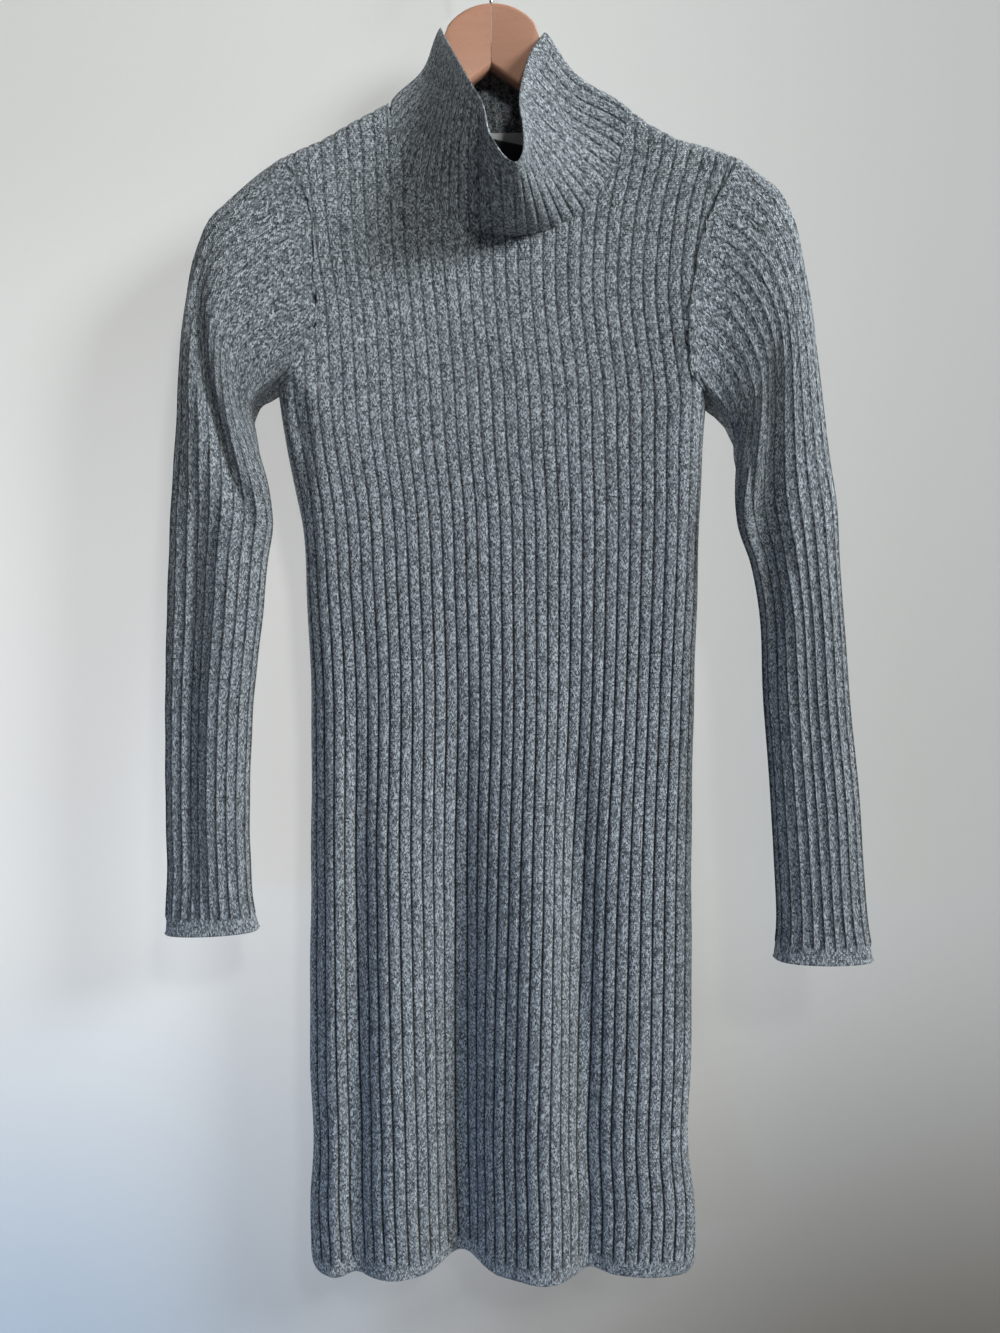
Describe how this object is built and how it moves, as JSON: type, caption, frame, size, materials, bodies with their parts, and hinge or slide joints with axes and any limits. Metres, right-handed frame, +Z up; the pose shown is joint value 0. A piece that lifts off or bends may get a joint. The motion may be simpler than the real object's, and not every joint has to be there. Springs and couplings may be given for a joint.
{
  "type": "sweater dress on a hanger",
  "caption": "Fitted rib-knit dress with a tall funnel neck, long set-in sleeves and side slits at the hem, hung on a contoured wooden hanger with a wire hook.",
  "frame": {"origin": "the point inside the top of the hanger's hook that rests on a rail or a peg", "axes": "+Z up along the dress towards the hook, +X across the dress to the viewer's right as seen from the front, +Y from the front through to the back"},
  "size_m": [0.537, 0.1228, 1.0649],
  "materials": {
    "grey_knit": "marled rib knit, soft and matt",
    "white_label": "woven satin label, bare",
    "black_tab": "black woven tab, bare",
    "beech": "clear-lacquered beech",
    "steel": "plated steel wire"
  },
  "bodies": {
    "root": {"front": "grey_knit", "front_skirt": "grey_knit", "front_hem": "grey_knit", "back": "grey_knit", "back_skirt": "grey_knit", "back_hem": "grey_knit", "sleeve_left": "grey_knit", "sleeve_left_lower": "grey_knit", "sleeve_left_cuff": "grey_knit", "sleeve_right": "grey_knit", "sleeve_right_lower": "grey_knit", "sleeve_right_cuff": "grey_knit", "collar": "grey_knit", "neck_label": "white_label", "size_tab": "black_tab", "hanger_arm_left": "beech", "hanger_arm_right": "beech", "hanger_hook": "steel"}
  },
  "joints": []
}
